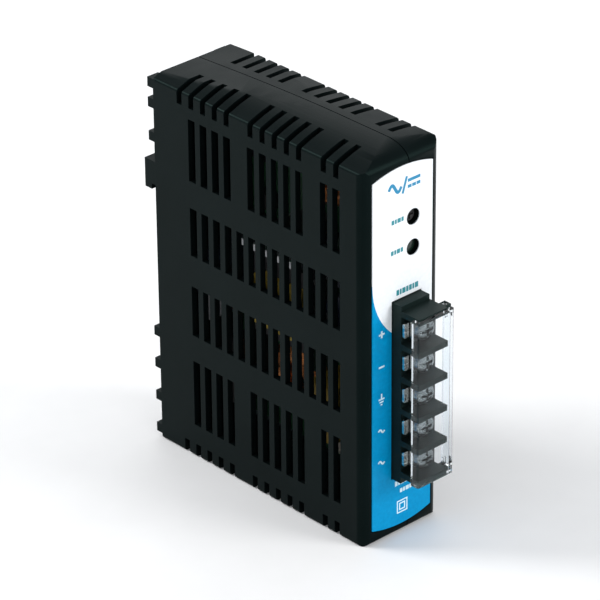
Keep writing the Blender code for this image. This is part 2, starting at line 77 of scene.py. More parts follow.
# Case details shared with the frame
WALL = 2.0
GAP = 0.3
CROWN = 3.1
RIGHT_CROWN = 1.1
BACK_FALL = 2.2
CORNER = 1.1
EDGE = 1.4
FRONT_CHAMFER = 3.0
SLOT_PITCH = 4.98
SLOT_WIDTH = 2.9
LAST_SLOT = 10.9
SIDE_ROWS = ((91.8, 111.5, True), (67.6, 83.1, False), (41.2, 57.5, False), (11.0, 32.6, True))
BROKEN_COLUMNS = (1, 2, 3, 4, 6, 7, 8, 9, 10, 12, 13)
END_COLUMNS = (0,) + BROKEN_COLUMNS
END_WRAP = 4.5
END_WIDTH = 2.1
END_REACH = {-1: -6.1, 1: 5.6}
RAIL_TOP = 85.0
RAIL_LIP = 1.6
HOOK_HEIGHT = 7.5
PAD_REACH = 0.4
PAD_Z = (54.0, 82.0)
BAR_CENTRES = (3.2, 14.2, 25.3, 36.1, 100.4, 111.1, 117.5)
BAR_REACH = 2.4
CLIP_HALF = 6.0
CLIP_FLANGE = 8.0
CLIP_THICK = 3.0
LUG_Z = (17.5, 19.5)

# Terminals and label
POLES = 5
PITCH = 10.39
BARRIER = 1.8
BARRIERS_TOP = 74.7
BASE_X = (BASE[0].x, BASE[0].x + 11.0)
BASE_Z = (BASE[0].z, BASE[1].z)
BASE_FLOOR = Y_FRONT - 3.6
BARRIER_TIP = BASE[0].y
SCREW_X = 1.7
HINGE_X = BASE_X[1] + 1.2
HINGE_Y = Y_FRONT - 8.45
COVER_SHEET = 1.0
COVER_FLANGE = 2.9
PRINT_Y = LABEL[0].y
HOLE_X = 4.1
HOLE_RADIUS = 2.5
HOLES_Z = (100.4, 90.9)
LABEL_ARC = 1.9


# ---------------------------------------------------------------- mesh helpers


def add_box(bm, low, high):
    corners = [
        bm.verts.new((x * MM, y * MM, z * MM))
        for x in (low[0], high[0])
        for y in (low[1], high[1])
        for z in (low[2], high[2])
    ]
    for face in ((0, 1, 3, 2), (4, 6, 7, 5), (0, 4, 5, 1), (2, 3, 7, 6), (0, 2, 6, 4), (1, 5, 7, 3)):
        bm.faces.new([corners[i] for i in face])


def add_prism(bm, outline, axis, start, end):
    """Extrudes an outline along axis (0, 1 or 2); its points hold the other two coordinates in X, Y, Z order."""
    rings = []
    for along in (start, end):
        ring = []
        for u, v in outline:
            point = [u, v]
            point.insert(axis, along)
            ring.append(bm.verts.new([value * MM for value in point]))
        rings.append(ring)
    bm.faces.new(rings[0])
    bm.faces.new(list(reversed(rings[1])))
    for i in range(len(outline)):
        j = (i + 1) % len(outline)
        bm.faces.new([rings[0][i], rings[1][i], rings[1][j], rings[0][j]])


def circle(centre, radius, sides=48):
    turns = [2 * math.pi * k / sides for k in range(sides)]
    return [(centre[0] + radius * math.cos(turn), centre[1] + radius * math.sin(turn)) for turn in turns]


def arc(centre, radius, start, end, steps):
    """Points round part of a circle, angles in degrees."""
    return [
        (
            centre[0] + radius * math.cos(math.radians(start + (end - start) * k / steps)),
            centre[1] + radius * math.sin(math.radians(start + (end - start) * k / steps)),
        )
        for k in range(steps + 1)
    ]


def rounded(low, high, radius, steps=5):
    """A rectangle with round corners, as an outline."""
    (a, b), (c, d) = low, high
    return [
        *arc((c - radius, d - radius), radius, 0, 90, steps),
        *arc((a + radius, d - radius), radius, 90, 180, steps),
        *arc((a + radius, b + radius), radius, 180, 270, steps),
        *arc((c - radius, b + radius), radius, 270, 360, steps),
    ]


def boxes(*pairs):
    def build(bm):
        for low, high in pairs:
            add_box(bm, low, high)

    return build


def prism(outline, axis, start, end):
    return lambda bm: add_prism(bm, outline, axis, start, end)


def prisms(outlines, axis, start, end):
    def build(bm):
        for outline in outlines:
            add_prism(bm, outline, axis, start, end)

    return build


def revolved(profile, centre, sides=48):
    """Turns (radius, y) points round the Y-parallel line through centre, an (x, z) pair."""

    def build(bm):
        rings = []
        for radius, y in profile:
            if radius == 0:
                rings.append([bm.verts.new((centre[0] * MM, y * MM, centre[1] * MM))])
                continue
            rings.append([bm.verts.new((x * MM, y * MM, z * MM)) for x, z in circle(centre, radius, sides)])
        for first, second in zip(rings, rings[1:]):
            for k in range(sides):
                j = (k + 1) % sides
                if len(first) == 1:
                    bm.faces.new((first[0], second[k], second[j]))
                elif len(second) == 1:
                    bm.faces.new((first[k], second[0], first[j]))
                else:
                    bm.faces.new((first[k], second[k], second[j], first[j]))

    return build


def new_object(name, build):
    bm = bmesh.new()
    build(bm)
    bmesh.ops.recalc_face_normals(bm, faces=bm.faces)
    mesh = bpy.data.meshes.new(name)
    bm.to_mesh(mesh)
    bm.free()
    obj = bpy.data.objects.new(name, mesh)
    bpy.context.scene.collection.objects.link(obj)
    return obj


def baked(obj):
    """Replaces obj's mesh with what its modifiers make of it."""
    bpy.context.view_layer.update()
    graph = bpy.context.evaluated_depsgraph_get()
    result = bpy.data.meshes.new_from_object(obj.evaluated_get(graph))
    obj.modifiers.clear()
    old = obj.data
    obj.data = result
    bpy.data.meshes.remove(old)
    result.name = obj.name
    return obj


def combine(obj, build, operation="DIFFERENCE"):
    tool = new_object(obj.name + "_tool", build)
    modifier = obj.modifiers.new("combine", "BOOLEAN")
    modifier.operation = operation
    modifier.solver = "EXACT"
    modifier.use_self = True
    modifier.object = tool
    baked(obj)
    bpy.data.objects.remove(tool, do_unlink=True)
    return obj


def soften(obj, width, segments=2, angle=32.0):
    """Rounds the edges sharper than angle, then shades the rest smooth."""
    bevel = obj.modifiers.new("edges", "BEVEL")
    bevel.width = width * MM
    bevel.segments = segments
    bevel.limit_method = "ANGLE"
    bevel.angle_limit = math.radians(angle)
    bevel.use_clamp_overlap = True
    bevel.miter_outer = "MITER_ARC"
    baked(obj)
    obj.data.shade_smooth()
    obj.data.set_sharp_from_angle(angle=math.radians(angle))
    weigh = obj.modifiers.new("flat_faces", "WEIGHTED_NORMAL")
    weigh.keep_sharp = True
    weigh.weight = 100
    return baked(obj)


def finish_piece(obj, material, body, slot, *nodes):
    obj.data.materials.clear()
    obj.data.materials.append(material)
    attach(obj, body)
    if nodes:
        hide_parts(*nodes)
    return obj


# ---------------------------------------------------------------- materials


class Nodes:
    """A short way to write a node tree."""

    def __init__(self, name):
        self.material = bpy.data.materials.new(name)
        self.material.use_nodes = True
        self.tree = self.material.node_tree
        self.shader = self.tree.nodes["Principled BSDF"]
        self.place = self.add("ShaderNodeTexCoord").outputs["Object"]

    def add(self, kind, **settings):
        node = self.tree.nodes.new(kind)
        for key, value in settings.items():
            setattr(node, key, value)
        return node

    def link(self, source, target):
        self.tree.links.new(source, target)

    def noise(self, scale, detail=4.0, roughness=0.55, stretch=None):
        source = self.place
        if stretch:
            mapping = self.add("ShaderNodeMapping")
            mapping.inputs["Scale"].default_value = stretch
            self.link(self.place, mapping.inputs["Vector"])
            source = mapping.outputs["Vector"]
        noise = self.add("ShaderNodeTexNoise")
        noise.inputs["Scale"].default_value = scale
        noise.inputs["Detail"].default_value = detail
        noise.inputs["Roughness"].default_value = roughness
        self.link(source, noise.inputs["Vector"])
        return noise.outputs["Fac"]

    def ramp(self, source, *stops):
        ramp = self.add("ShaderNodeValToRGB")
        elements = ramp.color_ramp.elements
        while len(elements) < len(stops):
            elements.new(0.5)
        for element, (position, colour) in zip(elements, stops):
            element.position = position
            element.color = (*colour, 1.0)
        self.link(source, ramp.inputs["Fac"])
        return ramp.outputs["Color"]

    def spread(self, source, low, high):
        """Maps a 0 to 1 value to low to high."""
        node = self.add("ShaderNodeMapRange")
        node.inputs["From Min"].default_value = 0.3
        node.inputs["From Max"].default_value = 0.7
        node.inputs["To Min"].default_value = low
        node.inputs["To Max"].default_value = high
        self.link(source, node.inputs["Value"])
        return node.outputs["Result"]

    def bump(self, source, strength, distance, after=None):
        node = self.add("ShaderNodeBump")
        node.inputs["Strength"].default_value = strength
        node.inputs["Distance"].default_value = distance
        self.link(source, node.inputs["Height"])
        if after:
            self.link(after, node.inputs["Normal"])
        return node.outputs["Normal"]

    def set(self, **values):
        for key, value in values.items():
            socket = self.shader.inputs[key.replace("_", " ")]
            if isinstance(value, bpy.types.NodeSocket):
                self.link(value, socket)
            else:
                socket.default_value = value
        return self.material


def moulded(name, dark, light, low=0.42, high=0.56, grain=2600.0, depth=0.00006, specular=0.5, tint=(1.0, 1.0, 1.0)):
    """Spark-eroded plastic: fine grain, faint cloudiness of colour and gloss."""
    n = Nodes(name)
    cloud = n.noise(60.0, 3.0)
    fine = n.noise(grain, 3.0, 0.6)
    broad = n.noise(22.0, 2.0)
    normal = n.bump(fine, 0.35, depth)
    normal = n.bump(broad, 0.05, 0.0006, normal)
    colour = n.ramp(cloud, (0.3, dark), (0.7, light))
    n.set(Specular_IOR_Level=specular, Specular_Tint=(*tint, 1.0))
    return n.set(Base_Color=colour, Roughness=n.spread(cloud, low, high), Normal=normal)


def metal(name, dark, light, low, high, stretch=(1.0, 1.0, 12.0), scale=260.0, depth=0.00003):
    """Plated or drawn metal: fine directional lines and soft stains."""
    n = Nodes(name)
    lines = n.noise(scale, 5.0, 0.6, stretch)
    stain = n.noise(140.0, 3.0)
    n.set(Metallic=1.0)
    return n.set(
        Base_Color=n.ramp(stain, (0.3, dark), (0.7, light)),
        Roughness=n.spread(lines, low, high),
        Normal=n.bump(lines, 0.25, depth),
    )


def printed(name, dark, light):
    """Ink on film."""
    n = Nodes(name)
    speck = n.noise(1800.0, 2.0)
    return n.set(
        Base_Color=n.ramp(speck, (0.3, dark), (0.7, light)),
        Roughness=n.spread(n.noise(90.0), 0.32, 0.42),
        Normal=n.bump(speck, 0.12, 0.00002),
    )


def clear_sheet():
    n = Nodes("clear_polycarbonate")
    ripple = n.noise(45.0, 2.0)
    n.set(Transmission_Weight=1.0, IOR=1.24)
    return n.set(
        Base_Color=n.ramp(ripple, (0.3, (0.90, 0.95, 0.98)), (0.7, (0.95, 0.98, 1.0))),
        Roughness=n.spread(n.noise(120.0), 0.01, 0.04),
        Normal=n.bump(ripple, 0.04, 0.0002),
    )


def label_film():
    """White film over blue: the colours meet on a quarter of an ellipse about a point on the label's right edge."""
    n = Nodes("label_film")
    across, up = 23.2 * MM, 23.5 * MM
    split = n.add("ShaderNodeSeparateXYZ")
    n.link(n.place, split.inputs["Vector"])

    def maths(operation, first, second):
        node = n.add("ShaderNodeMath", operation=operation)
        for socket, value in zip(node.inputs, (first, second)):
            if isinstance(value, bpy.types.NodeSocket):
                n.link(value, socket)
            else:
                socket.default_value = value
        return node.outputs["Value"]

    x = maths("DIVIDE", maths("SUBTRACT", split.outputs["X"], 11.6 * MM), across)
    z = maths("DIVIDE", maths("SUBTRACT", split.outputs["Z"], 84.0 * MM), up)
    reach = maths("ADD", maths("POWER", x, 2.0), maths("POWER", z, 2.0))
    inside = maths("LESS_THAN", reach, 1.0)
    above = maths("GREATER_THAN", split.outputs["Z"], 84.0 * MM)
    white_part = maths("MAXIMUM", inside, above)
    speck = n.noise(900.0, 2.0)
    white = n.ramp(speck, (0.3, (0.86, 0.90, 0.93)), (0.7, (0.92, 0.95, 0.97)))
    blue = n.ramp(speck, (0.3, (0.0, 0.27, 0.56)), (0.7, (0.001, 0.31, 0.62)))
    n.set(Specular_IOR_Level=0.06)
    mix = n.add("ShaderNodeMix", data_type="RGBA")
    n.link(white_part, mix.inputs["Factor"])
    n.link(blue, mix.inputs[6])
    n.link(white, mix.inputs[7])
    return n.set(
        Base_Color=mix.outputs[2],
        Roughness=n.spread(n.noise(80.0), 0.30, 0.40),
        Normal=n.bump(speck, 0.08, 0.00002),
    )


GREENISH = (0.45, 0.95, 0.85)
CASE = moulded(
    "case_plastic_black", (0.0022, 0.0040, 0.0043), (0.0034, 0.0058, 0.0062), 0.30, 0.42, specular=0.05, tint=GREENISH
)
TERMINAL = moulded(
    "terminal_plastic_black",
    (0.0060, 0.0115, 0.0110),
    (0.0100, 0.0170, 0.0160),
    0.28,
    0.40,
    specular=0.12,
    tint=GREENISH,
)
NICKEL = metal("bright_nickel", (0.60, 0.60, 0.58), (0.74, 0.74, 0.72), 0.16, 0.30)
ZINC = metal("zinc_plate", (0.17, 0.19, 0.19), (0.27, 0.29, 0.29), 0.18, 0.34)
SPRING_STEEL = metal("spring_wire_steel", (0.34, 0.34, 0.36), (0.48, 0.48, 0.50), 0.25, 0.40)
ALUMINIUM = metal("heatsink_aluminium", (0.42, 0.43, 0.45), (0.56, 0.57, 0.59), 0.30, 0.45)
COPPER = metal("enamelled_copper", (0.36, 0.12, 0.04), (0.58, 0.24, 0.09), 0.22, 0.38, (1.0, 14.0, 14.0), 180.0)
CLEAR = clear_sheet()
FILM = label_film()
TEAL_INK = printed("teal_ink", (0.01, 0.22, 0.27), (0.02, 0.28, 0.33))
SYMBOL_INK = printed("blue_symbol_ink", (0.0, 0.22, 0.42), (0.004, 0.26, 0.48))
WHITE_INK = printed("white_ink", (0.62, 0.86, 0.95), (0.75, 0.93, 1.0))
CLIP_PLASTIC = moulded("clip_plastic_black", (0.014, 0.015, 0.016), (0.022, 0.023, 0.025), 0.38, 0.5)
TRIMMER_PLASTIC = moulded("trimmer_plastic_black", (0.006, 0.006, 0.007), (0.010, 0.010, 0.011), 0.5, 0.62)
LENS = moulded("dark_indicator_lens", (0.004, 0.012, 0.008), (0.007, 0.018, 0.012), 0.10, 0.18, 400.0, 0.00001)
INSIDE = {
    "board": moulded("solder_resist", (0.010, 0.055, 0.022), (0.018, 0.085, 0.034), 0.30, 0.45, 500.0),
    "ferrite": moulded("ferrite_core", (0.020, 0.020, 0.022), (0.034, 0.034, 0.037), 0.6, 0.8, 900.0, 0.0001),
    "winding_tape": moulded("yellow_tape", (0.34, 0.24, 0.03), (0.48, 0.35, 0.06), 0.25, 0.4, 700.0),
    "capacitor_sleeve": moulded("shrink_sleeve", (0.006, 0.009, 0.018), (0.010, 0.014, 0.026), 0.2, 0.3, 300.0),
    "film_box": moulded("potted_film_box", (0.30, 0.19, 0.02), (0.42, 0.28, 0.04), 0.35, 0.5, 800.0),
    "component_black": moulded("epoxy_black", (0.008, 0.008, 0.008), (0.014, 0.014, 0.014), 0.4, 0.55, 1500.0),
    "disc_blue": moulded("dipped_blue", (0.01, 0.03, 0.16), (0.02, 0.05, 0.24), 0.3, 0.45, 500.0),
    "disc_green": moulded("dipped_green", (0.015, 0.07, 0.03), (0.025, 0.11, 0.05), 0.4, 0.55, 500.0),
    "fuse_sleeve": moulded("fuse_ceramic", (0.42, 0.38, 0.32), (0.55, 0.50, 0.43), 0.25, 0.4, 600.0),
    "copper_wire": COPPER,
    "heatsink": ALUMINIUM,
    "spring_steel": SPRING_STEEL,
    "clip_plastic": CLIP_PLASTIC,
    "trimmer_plastic": TRIMMER_PLASTIC,
    "indicator_lens": LENS,
}


# ---------------------------------------------------------------- case shells


def crown(x, half):
    """How far the top has dropped at x from its ridge at the seam."""
    if x > SEAM_X:
        return RIGHT_CROWN * ((x - SEAM_X) / (half - CORNER - SEAM_X)) ** 1.6
    return CROWN * ((SEAM_X - x) / (half - CORNER + SEAM_X)) ** 2.3


def case_section(inset):
    """The case seen from the front: arched top, flat bottom, small round corners."""
    side = HALF - inset
    low, high = inset, HEIGHT - inset
    steps = 9
    bottom = [
        *arc((-side + CORNER, low + CORNER), CORNER, 180, 270, steps // 2),
        *arc((side - 2.6, low + 2.6), 2.6, 270, 360, steps),
    ]
    right = arc((side - CORNER, high - RIGHT_CROWN - CORNER), CORNER, 0, 86, steps // 2)
    left = arc((-side + CORNER, high - CROWN - CORNER), CORNER, 94, 180, steps // 2)
    inner = side - CORNER
    xs = [inner - 2 * inner * k / 24 for k in range(1, 24)]
    ridge = min(range(len(xs)), key=lambda k: abs(xs[k] - SEAM_X))
    xs[ridge] = SEAM_X
    top = [(x, high - crown(x, side)) for x in xs]
    return bottom + right + top + left


def case_plan(inset):
    """The case seen from above: two flat facets with soft joins on each vertical front edge."""
    side, front, c = HALF - inset, Y_FRONT + inset, FRONT_CHAMFER
    corner = [(side, front + c), (side - 0.06 * c, front + 0.78 * c), (side - 0.25 * c, front + 0.42 * c)]
    corner += [(side - 0.55 * c, front + 0.18 * c), (side - 0.82 * c, front + 0.05 * c), (side - c, front)]
    left = [(-x, y) for x, y in corner]
    back = Y_BACK - inset
    return [(-side, back), *left, *reversed(corner), (side, back)]


def case_profile(inset):
    """The case seen from the side: the top rolls over into the front, the bottom edge is just rounded."""
    front, low, high = Y_FRONT + inset, inset, HEIGHT - inset
    end = Y_BACK - inset
    reach, drop, steps = 8.5, 4.9, 14
    roll = []
    for k in range(steps + 1):
        turn = math.pi / 2 * k / steps
        roll.append((reach * (1 - math.sin(turn)), drop * (1 - math.cos(turn))))
    top = [(front + back, high - fall) for back, fall in roll]
    start, length = front + 30.0, end - front - 30.0
    slope = [(start + length * k / 10, high - BACK_FALL * (k / 10) ** 1.6) for k in range(11)]
    round_low = arc((front + EDGE, low + EDGE), EDGE, 260, 180, 7)
    bottom = [(front + 2.4, low - 0.3), *round_low]
    low_side = (end, low - 2.0), (front + reach, low - 2.0)
    return [*low_side, *bottom, *reversed(top), *slope]


def case_block(name, inset):
    block = new_object(name, prism(case_section(inset), 1, Y_FRONT - 5, Y_BACK + 5))
    combine(block, prism(case_plan(inset), 2, -5, HEIGHT + 5), "INTERSECT")
    return combine(block, prism(case_profile(inset), 0, -HALF - 5, HALF + 5), "INTERSECT")


def column_y(column):
    return Y_FRONT + LAST_SLOT + (13 - column) * SLOT_PITCH


def slot_tools(side):
    found = []
    outer, inner = side * (HALF + 1.0), side * (HALF - WALL - 1.0)
    xs = sorted((outer, inner))
    for low, high, broken in SIDE_ROWS:
        for column in BROKEN_COLUMNS if broken else range(1, 14):
            y = column_y(column)
            found.append(((xs[0], y - SLOT_WIDTH / 2, low), (xs[1], y + SLOT_WIDTH / 2, high)))
    xs = sorted((outer, END_REACH[side]))
    for column in END_COLUMNS:
        y = column_y(column)
        for low, high in ((HEIGHT - CROWN - END_WRAP, HEIGHT + 1), (-1, END_WRAP)):
            found.append(((xs[0], y - END_WIDTH / 2, low), (xs[1], y + END_WIDTH / 2, high)))
    return found


def label_outline(grow=0.0, steps=28):
    half = LABEL[1].x + grow
    low, high = LABEL[0].z + LABEL_ARC - grow, LABEL[1].z - LABEL_ARC + grow
    across = [-half + 2 * half * k / steps for k in range(steps + 1)]
    top = [(x, high + LABEL_ARC * (1 - (x / half) ** 2)) for x in across]
    bottom = [(x, low - LABEL_ARC * (1 - (x / half) ** 2)) for x in reversed(across)]
    return top + bottom


def base_window(y_low, y_high):
    return boxes(((BASE_X[0] - GAP, y_low, BASE_Z[0] - GAP), (BASE_X[1] + GAP, y_high, BASE_Z[1] + GAP)))


def cut_label_holes(obj, y_low, y_high):
    combine(obj, base_window(y_low, y_high))
    for z in HOLES_Z:
        combine(obj, prism(circle((HOLE_X, z), HOLE_RADIUS), 1, y_low, y_high))


def shell(name, side, whole, hollow):
    obj = bpy.data.objects.new(name, whole.data.copy())
    bpy.context.scene.collection.objects.link(obj)
    combine(obj, lambda bm: bm.from_mesh(hollow.data))
    cut = SEAM_X + side * GAP / 2
    away = sorted((cut, -side * (HALF + 5)))
    combine(obj, boxes(((away[0], Y_FRONT - 5, -5), (away[1], Y_BACK + 5, HEIGHT + 5))))

    def span(a, b):
        return sorted((side * a, side * b))

    bar = span(10.8, HALF - 0.02)
    bars = [((bar[0], Y_BACK - 1, z - 1.5), (bar[1], Y_BACK + BAR_REACH, z + 1.5)) for z in BAR_CENTRES]
    full = sorted((cut, side * (HALF - 0.01)))
    hook = ((full[0], Y_BACK - 1, RAIL_TOP), (full[1], Y_BACK + HOOK_REACH, RAIL_TOP + HOOK_HEIGHT))
    combine(obj, boxes(*bars, hook), "UNION")
    lip = ((full[0], Y_BACK + RAIL_LIP, RAIL_TOP - 1.8), (full[1], Y_BACK + HOOK_REACH, RAIL_TOP + 1.0))
    pad = span(7.0, 13.0)
    pads = ((pad[0], Y_BACK - 1, PAD_Z[0]), (pad[1], Y_BACK + PAD_REACH, PAD_Z[1]))
    post = span(CLIP_FLANGE + GAP, CLIP_FLANGE + 2.3)
    posts = ((post[0], Y_BACK - 1, 9.0), (post[1], Y_BACK + CLIP_THICK, 44.0))
    combine(obj, boxes(lip, pads, posts), "UNION")
    catch = span(CLIP_HALF + GAP, CLIP_FLANGE + 1.0)
    combine(obj, boxes(((catch[0], Y_BACK + 1.8, 9.0), (catch[1], Y_BACK + CLIP_THICK, 44.0))), "UNION")
    if side < 0:
        combine(obj, boxes(((-2.2, Y_BACK - 1, LUG_Z[0]), (2.2, Y_BACK + 2.8, LUG_Z[1]))), "UNION")
    combine(obj, boxes(*slot_tools(side)))
    combine(obj, prism(label_outline(GAP), 1, Y_FRONT - 1, Y_FRONT + 0.6))
    cut_label_holes(obj, Y_FRONT - 1, Y_FRONT + WALL + 1)
    soften(obj, 0.22)
    return finish_piece(obj, CASE, "housing", "case_plastic", name.removeprefix("fine_"))


def case_shells():
    whole = case_block("case_outside", 0.0)
    hollow = case_block("case_inside", WALL)
    for name, side in (("left_shell", -1), ("right_shell", 1)):
        shell("fine_" + name, side, whole, hollow)
    for helper in (whole, hollow):
        bpy.data.objects.remove(helper, do_unlink=True)


# ---------------------------------------------------------------- label and print


def front_label():
    obj = new_object("label_film", prism(label_outline(), 1, PRINT_Y, PRINT_Y + 0.4))
    cut_label_holes(obj, PRINT_Y - 1, PRINT_Y + 1)
    soften(obj, 0.06, 1, 60.0)
    finish_piece(obj, FILM, "housing", "label_print", "front_label")


def ink(name, outlines, material):
    """Flat print a hair above the film."""
    obj = new_object(name, prisms(outlines, 1, PRINT_Y - 0.03, PRINT_Y + 0.1))
    finish_piece(obj, material, "housing", "label_print")


def stroke(points, width):
    """Outline of a line of even width along points."""
    left, right = [], []
    for i, (x, z) in enumerate(points):
        ax, az = points[max(i - 1, 0)]
        bx, bz = points[min(i + 1, len(points) - 1)]
        length = math.hypot(bx - ax, bz - az)
        nx, nz = -(bz - az) / length * width / 2, (bx - ax) / length * width / 2
        left.append((x + nx, z + nz))
        right.append((x - nx, z - nz))
    return left + list(reversed(right))


def wave(x, z, length, height, width):
    steps = 20
    points = [(x + length * k / steps, z + height * math.sin(2 * math.pi * k / steps)) for k in range(steps + 1)]
    return stroke(points, width)


def word_marks(x, z, length, height):
    """Short blocks in a row, in place of a line of small print."""
    widths = (1.0, 0.7, 1.25, 0.85)
    found, at, k = [], x, 0
    while at + 0.5 < x + length:
        wide = min(widths[k % 4], x + length - at)
        found.append(rounded((at, z - height / 2), (at + wide, z + height / 2), 0.14, 3))
        at += wide + 0.28
        k += 1
    return found


def bar(x, z, length, height):
    left, right = x - length / 2, x + length / 2
    low, high = z - height / 2, z + height / 2
    return [(left, low), (right, low), (right, high), (left, high)]


def pole_z(pole):
    return BARRIERS_TOP - BARRIER - (PITCH - BARRIER) / 2 - (pole - 1) * PITCH


def prints():
    # A wave, a slanted stroke, and a bar over dashes: alternating current in, direct current out.
    z = 111.4
    symbol = [
        wave(-5.4, z, 4.8, 1.4, 1.0),
        stroke([(-0.1, z - 2.4), (1.5, z + 2.4)], 0.8),
        bar(4.3, z + 0.95, 4.8, 0.95),
        *[bar(2.6 + 1.7 * k, z - 0.95, 1.4, 0.95) for k in range(3)],
    ]
    ink("conversion_symbol", symbol, SYMBOL_INK)
    ink("adjust_caption", word_marks(-4.3, 101.2, 4.9, 1.35), TEAL_INK)
    ink("indicator_caption", word_marks(-4.5, 91.7, 5.1, 1.35), TEAL_INK)
    ink("output_caption", word_marks(-2.3, 78.6, 8.8, 1.7), TEAL_INK)
    x = -8.0
    z1, z2, z3, z4, z5 = [pole_z(pole) - 1.0 for pole in range(1, POLES + 1)]
    plus = [bar(x, z1, 2.2, 0.6), bar(x, z1 + 0.7, 0.6, 0.8), bar(x, z1 - 0.7, 0.6, 0.8)]
    minus = bar(x, z2, 2.2, 0.6)
    stem = bar(x, z3 + 1.0, 0.5, 1.5)
    earth = [bar(x, z3, 2.3, 0.5), bar(x, z3 - 0.9, 1.5, 0.45), bar(x, z3 - 1.75, 0.7, 0.4), stem]
    waves = [wave(x - 1.2, z, 2.4, 0.55, 0.55) for z in (z4, z5)]
    marks = [*plus, minus, *earth, *waves]
    ink("terminal_symbols", marks, WHITE_INK)
    ink("input_caption", word_marks(-2.6, 16.6, 5.4, 1.6) + word_marks(-0.6, 13.7, 6.4, 1.3), WHITE_INK)
    frame_marks = []
    for half in (1.9, 1.0):
        w = 0.4
        frame_marks += [bar(0.3, 8.4 + half, 2 * half + w, w), bar(0.3, 8.4 - half, 2 * half + w, w)]
        frame_marks += [bar(0.3 - half, 8.4, w, 2 * half - w), bar(0.3 + half, 8.4, w, 2 * half - w)]
    ink("double_square_symbol", frame_marks, WHITE_INK)


# ---------------------------------------------------------------- terminals


def barrier_span(index):
    top = BARRIERS_TOP - index * PITCH
    return top - BARRIER, top


def terminal_base():
    obj = new_object(
        "terminal_strip",
        boxes(((BASE_X[0], BASE_FLOOR, BASE_Z[0]), (BASE_X[1], Y_FRONT + 8.0, BASE_Z[1]))),
    )
    near, far = BASE_X[0] + 0.005, BASE_X[1] - 0.005
    walls = [
        ((near, BARRIER_TIP, barrier_span(i)[0]), (far, BASE_FLOOR + 1.0, barrier_span(i)[1]))
        for i in range(POLES + 1)
    ]
    combine(obj, boxes(*walls), "UNION")
    ears = [
        (
            (BASE_X[1] - 1.0, HINGE_Y - 1.3, barrier_span(i)[0] + 0.005),
            (HINGE_X + 1.2, HINGE_Y + 1.2, barrier_span(i)[1] - 0.005),
        )
        for i in (0, POLES)
    ]
    combine(obj, boxes(*ears), "UNION")
    for i in (0, POLES):
        low, high = barrier_span(i)
        combine(obj, prism(circle((HINGE_X, HINGE_Y), 0.85, 24), 2, low - 1, high + 1))
    for pole in range(1, POLES + 1):
        z = pole_z(pole)
        combine(obj, prism(circle((SCREW_X, z), 2.0, 32), 1, BASE_FLOOR - 0.1, Y_FRONT + 3.2))
        combine(obj, boxes(((4.9, BASE_FLOOR - 0.1, z - 1.8), (6.3, Y_FRONT + 9, z + 1.8))))
    soften(obj, 0.2)
    finish_piece(obj, TERMINAL, "housing", "terminal_plastic", "terminal_base")


def terminal_pole(pole):
    z = pole_z(pole)
    plate_box = box_mm(f"contact_plate_{pole}")
    thick = 0.8
    front = plate_box[0].y
    plate = new_object(
        f"contact_{pole}",
        prism(rounded((plate_box[0].x, z - 2.3), (6.0, z + 2.3), 0.5), 1, front, front + thick),
    )
    combine(plate, boxes(((5.2, front + 0.4, z - 1.5), (5.99, plate_box[1].y, z + 1.5))), "UNION")
    foot = ((5.6, plate_box[1].y - 0.8, z - 1.49), (plate_box[1].x, plate_box[1].y - 0.01, z + 1.49))
    combine(plate, boxes(foot), "UNION")
    combine(plate, prism(circle((SCREW_X, z), 1.75, 32), 1, front - 2, front + 3))
    soften(plate, 0.12)
    finish_piece(plate, NICKEL, "housing", "nickel", f"contact_plate_{pole}")

    low, high = box_mm(f"clamp_washer_{pole}")
    washer = new_object(f"washer_{pole}", prism(rounded((low.x, low.z), (high.x, high.z), 1.1), 1, low.y, high.y))
    combine(washer, prism(circle((SCREW_X, z), 1.85, 40), 1, low.y - 1, high.y + 1))
    ribs = [
        ((low.x + 0.5, low.y - 1, z + k - 0.12), (low.x + 1.5, low.y + 0.2, z + k + 0.12))
        for k in (-2.4, -1.2, 0, 1.2, 2.4)
    ]
    combine(washer, boxes(*ribs))
    soften(washer, 0.1)
    finish_piece(washer, ZINC, f"clamp_{pole}", "nickel", f"clamp_washer_{pole}")

    low, high = box_mm(f"terminal_screw_{pole}")
    head, under, top = (high.x - low.x) / 2, low.y + 2.3, low.y
    slopes = [math.radians(degrees) for degrees in range(10, 91, 10)]
    dome = [(head * math.sin(slope), top + 0.8 * (1 - math.cos(slope))) for slope in slopes]
    profile = [(0.0, top), *dome, (head, under - 0.15), (head - 0.15, under), (1.7, under)]
    threads = []
    turns = 10
    for k in range(turns):
        y = under + 0.5 + 0.6 * k
        threads += [(1.7, y), (1.42, y + 0.3)]
    profile += [*threads, (1.7, high.y - 0.8), (1.1, high.y), (0.0, high.y)]
    screw = new_object(f"screw_{pole}", revolved(profile, (SCREW_X, z)))
    for wide, tall in ((4.2, 0.85), (0.85, 4.2)):
        combine(
            screw,
            boxes(((SCREW_X - wide / 2, top - 1, z - tall / 2), (SCREW_X + wide / 2, top + 1.2, z + tall / 2))),
        )
    soften(screw, 0.07, 1, 45.0)
    finish_piece(screw, ZINC, f"screw_{pole}", "nickel", f"terminal_screw_{pole}")


